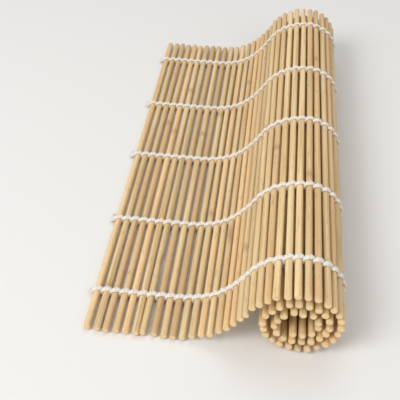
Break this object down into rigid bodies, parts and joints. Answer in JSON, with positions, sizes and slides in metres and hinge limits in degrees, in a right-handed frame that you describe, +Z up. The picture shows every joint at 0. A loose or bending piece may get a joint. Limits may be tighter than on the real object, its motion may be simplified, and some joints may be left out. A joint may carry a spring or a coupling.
{
  "type": "sushi rolling mat",
  "caption": "Bamboo rolling mat for sushi: round sticks held side by side by twined cotton cords, lying half rolled up, flat at one end and a loose spiral roll at the other.",
  "frame": {"origin": "middle of the bounding box, on the surface that the mat lies on", "axes": "+Y along the sticks, towards their back ends; +X from the outer edge towards the roll; +Z up"},
  "size_m": [0.1118, 0.24, 0.035],
  "materials": {
    "bamboo": "smooth, dry, pale yellow-brown with fine grain along the stick",
    "cotton": "soft twisted two-strand cord"
  },
  "bodies": {
    "flat": {"flat_sticks": "bamboo", "flat_cords": "cotton"},
    "second": {"second_sticks": "bamboo", "second_cords": "cotton"},
    "edge": {"edge_sticks": "bamboo", "edge_cords": "cotton", "edge_knots": "cotton"},
    "course_1": {"course_1_sticks": "bamboo", "course_1_cords": "cotton"},
    "course_2": {"course_2_sticks": "bamboo", "course_2_cords": "cotton"},
    "course_3": {"course_3_sticks": "bamboo", "course_3_cords": "cotton"},
    "course_4": {"course_4_sticks": "bamboo", "course_4_cords": "cotton"},
    "course_5": {"course_5_sticks": "bamboo", "course_5_cords": "cotton"},
    "course_6": {"course_6_sticks": "bamboo", "course_6_cords": "cotton"},
    "course_7": {"course_7_sticks": "bamboo", "course_7_cords": "cotton"},
    "course_8": {"course_8_sticks": "bamboo", "course_8_cords": "cotton"},
    "course_9": {"course_9_sticks": "bamboo", "course_9_cords": "cotton"},
    "course_10": {"course_10_sticks": "bamboo", "course_10_cords": "cotton"},
    "course_11": {"course_11_sticks": "bamboo", "course_11_cords": "cotton"},
    "course_12": {"course_12_sticks": "bamboo", "course_12_cords": "cotton"},
    "course_13": {"course_13_sticks": "bamboo", "course_13_cords": "cotton"},
    "course_14": {"course_14_sticks": "bamboo", "course_14_cords": "cotton"},
    "course_15": {"course_15_sticks": "bamboo", "course_15_cords": "cotton"},
    "course_16": {"course_16": "bamboo"},
    "course_17": {"course_17": "bamboo"},
    "course_18": {"course_18": "bamboo"},
    "course_19": {"course_19": "bamboo"},
    "course_20": {"course_20": "bamboo"},
    "course_21": {"course_21": "bamboo"},
    "course_22": {"course_22": "bamboo"},
    "course_23": {"course_23": "bamboo"},
    "course_24": {"course_24": "bamboo"},
    "course_25": {"course_25": "bamboo"},
    "course_26": {"course_26": "bamboo"},
    "course_27": {"course_27": "bamboo"},
    "course_28": {"course_28": "bamboo"},
    "course_29": {"course_29": "bamboo"},
    "course_30": {"course_30": "bamboo"},
    "course_31": {"course_31": "bamboo"},
    "course_32": {"course_32": "bamboo"},
    "course_33": {"course_33": "bamboo"},
    "course_34": {"course_34": "bamboo"},
    "course_35": {"course_35": "bamboo"},
    "course_36": {"course_36": "bamboo"},
    "course_37": {"course_37": "bamboo"},
    "course_38": {"course_38": "bamboo"}
  },
  "joints": [
    {"name": "edge_lift", "type": "hinge", "parent": "flat", "child": "second", "pos_m": [-0.03468, 0, 0.00195], "axis": [0, 1, 0], "range_deg": [0, 35]},
    {"name": "edge_curl", "type": "hinge", "parent": "second", "child": "edge", "pos_m": [-0.04268, 0, 0.00195], "axis": [0, 1, 0], "range_deg": [0, 35]},
    {"name": "bend_1", "type": "hinge", "parent": "flat", "child": "course_1", "pos_m": [-0.01068, 0, 0.00195], "axis": [0, 1, 0], "range_deg": [0, 10.99]},
    {"name": "bend_2", "type": "hinge", "parent": "course_1", "child": "course_2", "pos_m": [-0.00283, 0, 0.00347], "axis": [0, 1, 0], "range_deg": [0, 13.43]},
    {"name": "bend_3", "type": "hinge", "parent": "course_2", "child": "course_3", "pos_m": [0.00446, 0, 0.00678], "axis": [0, 1, 0], "range_deg": [0, 17.09]},
    {"name": "bend_4", "type": "hinge", "parent": "course_3", "child": "course_4", "pos_m": [0.01045, 0, 0.01208], "axis": [0, 1, 0], "range_deg": [0, 10.99]},
    {"name": "bend_5", "type": "hinge", "parent": "course_4", "child": "course_5", "pos_m": [0.01532, 0, 0.01843], "axis": [0, 1, 0], "range_deg": [0, 6.1]},
    {"name": "bend_6", "type": "hinge", "parent": "course_5", "child": "course_6", "pos_m": [0.01948, 0, 0.02526], "axis": [0, -1, 0], "range_deg": [0, 19.53]},
    {"name": "bend_7", "type": "hinge", "parent": "course_6", "child": "course_7", "pos_m": [0.0257, 0, 0.0303], "axis": [0, -1, 0], "range_deg": [0, 19.53]},
    {"name": "bend_8", "type": "hinge", "parent": "course_7", "child": "course_8", "pos_m": [0.03323, 0, 0.03298], "axis": [0, -1, 0], "range_deg": [0, 19.53]},
    {"name": "bend_9", "type": "hinge", "parent": "course_8", "child": "course_9", "pos_m": [0.04123, 0, 0.03298], "axis": [0, -1, 0], "range_deg": [0, 25.45]},
    {"name": "bend_10", "type": "hinge", "parent": "course_9", "child": "course_10", "pos_m": [0.04846, 0, 0.02954], "axis": [0, -1, 0], "range_deg": [0, 28.04]},
    {"name": "bend_11", "type": "hinge", "parent": "course_10", "child": "course_11", "pos_m": [0.05322, 0, 0.02311], "axis": [0, -1, 0], "range_deg": [0, 30.65]},
    {"name": "unroll", "type": "hinge", "parent": "course_11", "child": "course_12", "pos_m": [0.05403, 0, 0.01515], "axis": [0, -1, 0], "range_deg": [0, 30.65]},
    {"name": "bend_13", "type": "hinge", "parent": "course_12", "child": "course_13", "pos_m": [0.05068, 0, 0.00789], "axis": [0, -1, 0], "range_deg": [0, 28.42]},
    {"name": "bend_14", "type": "hinge", "parent": "course_13", "child": "course_14", "pos_m": [0.04427, 0, 0.0031], "axis": [0, -1, 0], "range_deg": [0, 27.18]},
    {"name": "bend_15", "type": "hinge", "parent": "course_14", "child": "course_15", "pos_m": [0.03638, 0, 0.00176], "axis": [0, -1, 0], "range_deg": [0, 28.15]},
    {"name": "bend_16", "type": "hinge", "parent": "course_15", "child": "course_16", "pos_m": [0.0288, 0, 0.00431], "axis": [0, -1, 0], "range_deg": [0, 31.42]},
    {"name": "bend_17", "type": "hinge", "parent": "course_16", "child": "course_17", "pos_m": [0.02365, 0, 0.01043], "axis": [0, -1, 0], "range_deg": [0, 35.66]},
    {"name": "bend_18", "type": "hinge", "parent": "course_17", "child": "course_18", "pos_m": [0.02304, 0, 0.01841], "axis": [0, -1, 0], "range_deg": [0, 35.86]},
    {"name": "bend_19", "type": "hinge", "parent": "course_18", "child": "course_19", "pos_m": [0.02722, 0, 0.02523], "axis": [0, -1, 0], "range_deg": [0, 32.35]},
    {"name": "bend_20", "type": "hinge", "parent": "course_19", "child": "course_20", "pos_m": [0.0344, 0, 0.02876], "axis": [0, -1, 0], "range_deg": [0, 31.44]},
    {"name": "bend_21", "type": "hinge", "parent": "course_20", "child": "course_21", "pos_m": [0.04237, 0, 0.02802], "axis": [0, -1, 0], "range_deg": [0, 34.59]},
    {"name": "bend_22", "type": "hinge", "parent": "course_21", "child": "course_22", "pos_m": [0.04851, 0, 0.02289], "axis": [0, -1, 0], "range_deg": [0, 41.35]},
    {"name": "bend_23", "type": "hinge", "parent": "course_22", "child": "course_23", "pos_m": [0.04973, 0, 0.01499], "axis": [0, -1, 0], "range_deg": [0, 43.75]},
    {"name": "bend_24", "type": "hinge", "parent": "course_23", "child": "course_24", "pos_m": [0.04514, 0, 0.00843], "axis": [0, -1, 0], "range_deg": [0, 37.94]},
    {"name": "bend_25", "type": "hinge", "parent": "course_24", "child": "course_25", "pos_m": [0.0375, 0, 0.00608], "axis": [0, -1, 0], "range_deg": [0, 28.42]},
    {"name": "bend_26", "type": "hinge", "parent": "course_25", "child": "course_26", "pos_m": [0.03358, 0, 0.00687], "axis": [0, -1, 0], "range_deg": [0, 21.87]},
    {"name": "bend_27", "type": "hinge", "parent": "course_26", "child": "course_27", "pos_m": [0.03023, 0, 0.00906], "axis": [0, -1, 0], "range_deg": [0, 25.31]},
    {"name": "bend_28", "type": "hinge", "parent": "course_27", "child": "course_28", "pos_m": [0.02814, 0, 0.01247], "axis": [0, -1, 0], "range_deg": [0, 28.55]},
    {"name": "bend_29", "type": "hinge", "parent": "course_28", "child": "course_29", "pos_m": [0.02794, 0, 0.01646], "axis": [0, -1, 0], "range_deg": [0, 27.85]},
    {"name": "bend_30", "type": "hinge", "parent": "course_29", "child": "course_30", "pos_m": [0.02962, 0, 0.02009], "axis": [0, -1, 0], "range_deg": [0, 24.58]},
    {"name": "bend_31", "type": "hinge", "parent": "course_30", "child": "course_31", "pos_m": [0.03266, 0, 0.02269], "axis": [0, -1, 0], "range_deg": [0, 22.88]},
    {"name": "bend_32", "type": "hinge", "parent": "course_31", "child": "course_32", "pos_m": [0.03648, 0, 0.0239], "axis": [0, -1, 0], "range_deg": [0, 23.43]},
    {"name": "bend_33", "type": "hinge", "parent": "course_32", "child": "course_33", "pos_m": [0.04045, 0, 0.0235], "axis": [0, -1, 0], "range_deg": [0, 26.58]},
    {"name": "bend_34", "type": "hinge", "parent": "course_33", "child": "course_34", "pos_m": [0.04383, 0, 0.02135], "axis": [0, -1, 0], "range_deg": [0, 33.22]},
    {"name": "bend_35", "type": "hinge", "parent": "course_34", "child": "course_35", "pos_m": [0.04548, 0, 0.01771], "axis": [0, -1, 0], "range_deg": [0, 39.82]},
    {"name": "bend_36", "type": "hinge", "parent": "course_35", "child": "course_36", "pos_m": [0.04442, 0, 0.01385], "axis": [0, -1, 0], "range_deg": [0, 34.09]},
    {"name": "bend_37", "type": "hinge", "parent": "course_36", "child": "course_37", "pos_m": [0.04138, 0, 0.01126], "axis": [0, -1, 0], "range_deg": [0, 29.36]},
    {"name": "bend_38", "type": "hinge", "parent": "course_37", "child": "course_38", "pos_m": [0.03745, 0, 0.01049], "axis": [0, -1, 0], "range_deg": [0, 31.26]}
  ],
  "couplings": [
    {"joint": "edge_curl", "follows": "edge_lift", "ratio": 1},
    {"joint": "bend_1", "follows": "unroll", "ratio": 0.35848},
    {"joint": "bend_2", "follows": "unroll", "ratio": 0.43814},
    {"joint": "bend_3", "follows": "unroll", "ratio": 0.55763},
    {"joint": "bend_4", "follows": "unroll", "ratio": 0.35847},
    {"joint": "bend_5", "follows": "unroll", "ratio": 0.19915},
    {"joint": "bend_6", "follows": "unroll", "ratio": 0.63729},
    {"joint": "bend_7", "follows": "unroll", "ratio": 0.63729},
    {"joint": "bend_8", "follows": "unroll", "ratio": 0.63729},
    {"joint": "bend_9", "follows": "unroll", "ratio": 0.83038},
    {"joint": "bend_10", "follows": "unroll", "ratio": 0.91467},
    {"joint": "bend_11", "follows": "unroll", "ratio": 1.0001},
    {"joint": "bend_13", "follows": "unroll", "ratio": 0.92706},
    {"joint": "bend_14", "follows": "unroll", "ratio": 0.8869},
    {"joint": "bend_15", "follows": "unroll", "ratio": 0.91829},
    {"joint": "bend_16", "follows": "unroll", "ratio": 1.025},
    {"joint": "bend_17", "follows": "unroll", "ratio": 1.1636},
    {"joint": "bend_18", "follows": "unroll", "ratio": 1.1699},
    {"joint": "bend_19", "follows": "unroll", "ratio": 1.0553},
    {"joint": "bend_20", "follows": "unroll", "ratio": 1.0256},
    {"joint": "bend_21", "follows": "unroll", "ratio": 1.1286},
    {"joint": "bend_22", "follows": "unroll", "ratio": 1.3492},
    {"joint": "bend_23", "follows": "unroll", "ratio": 1.4274},
    {"joint": "bend_24", "follows": "unroll", "ratio": 1.2379},
    {"joint": "bend_25", "follows": "unroll", "ratio": 0.92716},
    {"joint": "bend_26", "follows": "unroll", "ratio": 0.7135},
    {"joint": "bend_27", "follows": "unroll", "ratio": 0.82579},
    {"joint": "bend_28", "follows": "unroll", "ratio": 0.93153},
    {"joint": "bend_29", "follows": "unroll", "ratio": 0.90873},
    {"joint": "bend_30", "follows": "unroll", "ratio": 0.80198},
    {"joint": "bend_31", "follows": "unroll", "ratio": 0.74629},
    {"joint": "bend_32", "follows": "unroll", "ratio": 0.76433},
    {"joint": "bend_33", "follows": "unroll", "ratio": 0.86729},
    {"joint": "bend_34", "follows": "unroll", "ratio": 1.0836},
    {"joint": "bend_35", "follows": "unroll", "ratio": 1.2991},
    {"joint": "bend_36", "follows": "unroll", "ratio": 1.1121},
    {"joint": "bend_37", "follows": "unroll", "ratio": 0.9577},
    {"joint": "bend_38", "follows": "unroll", "ratio": 1.0198}
  ]
}
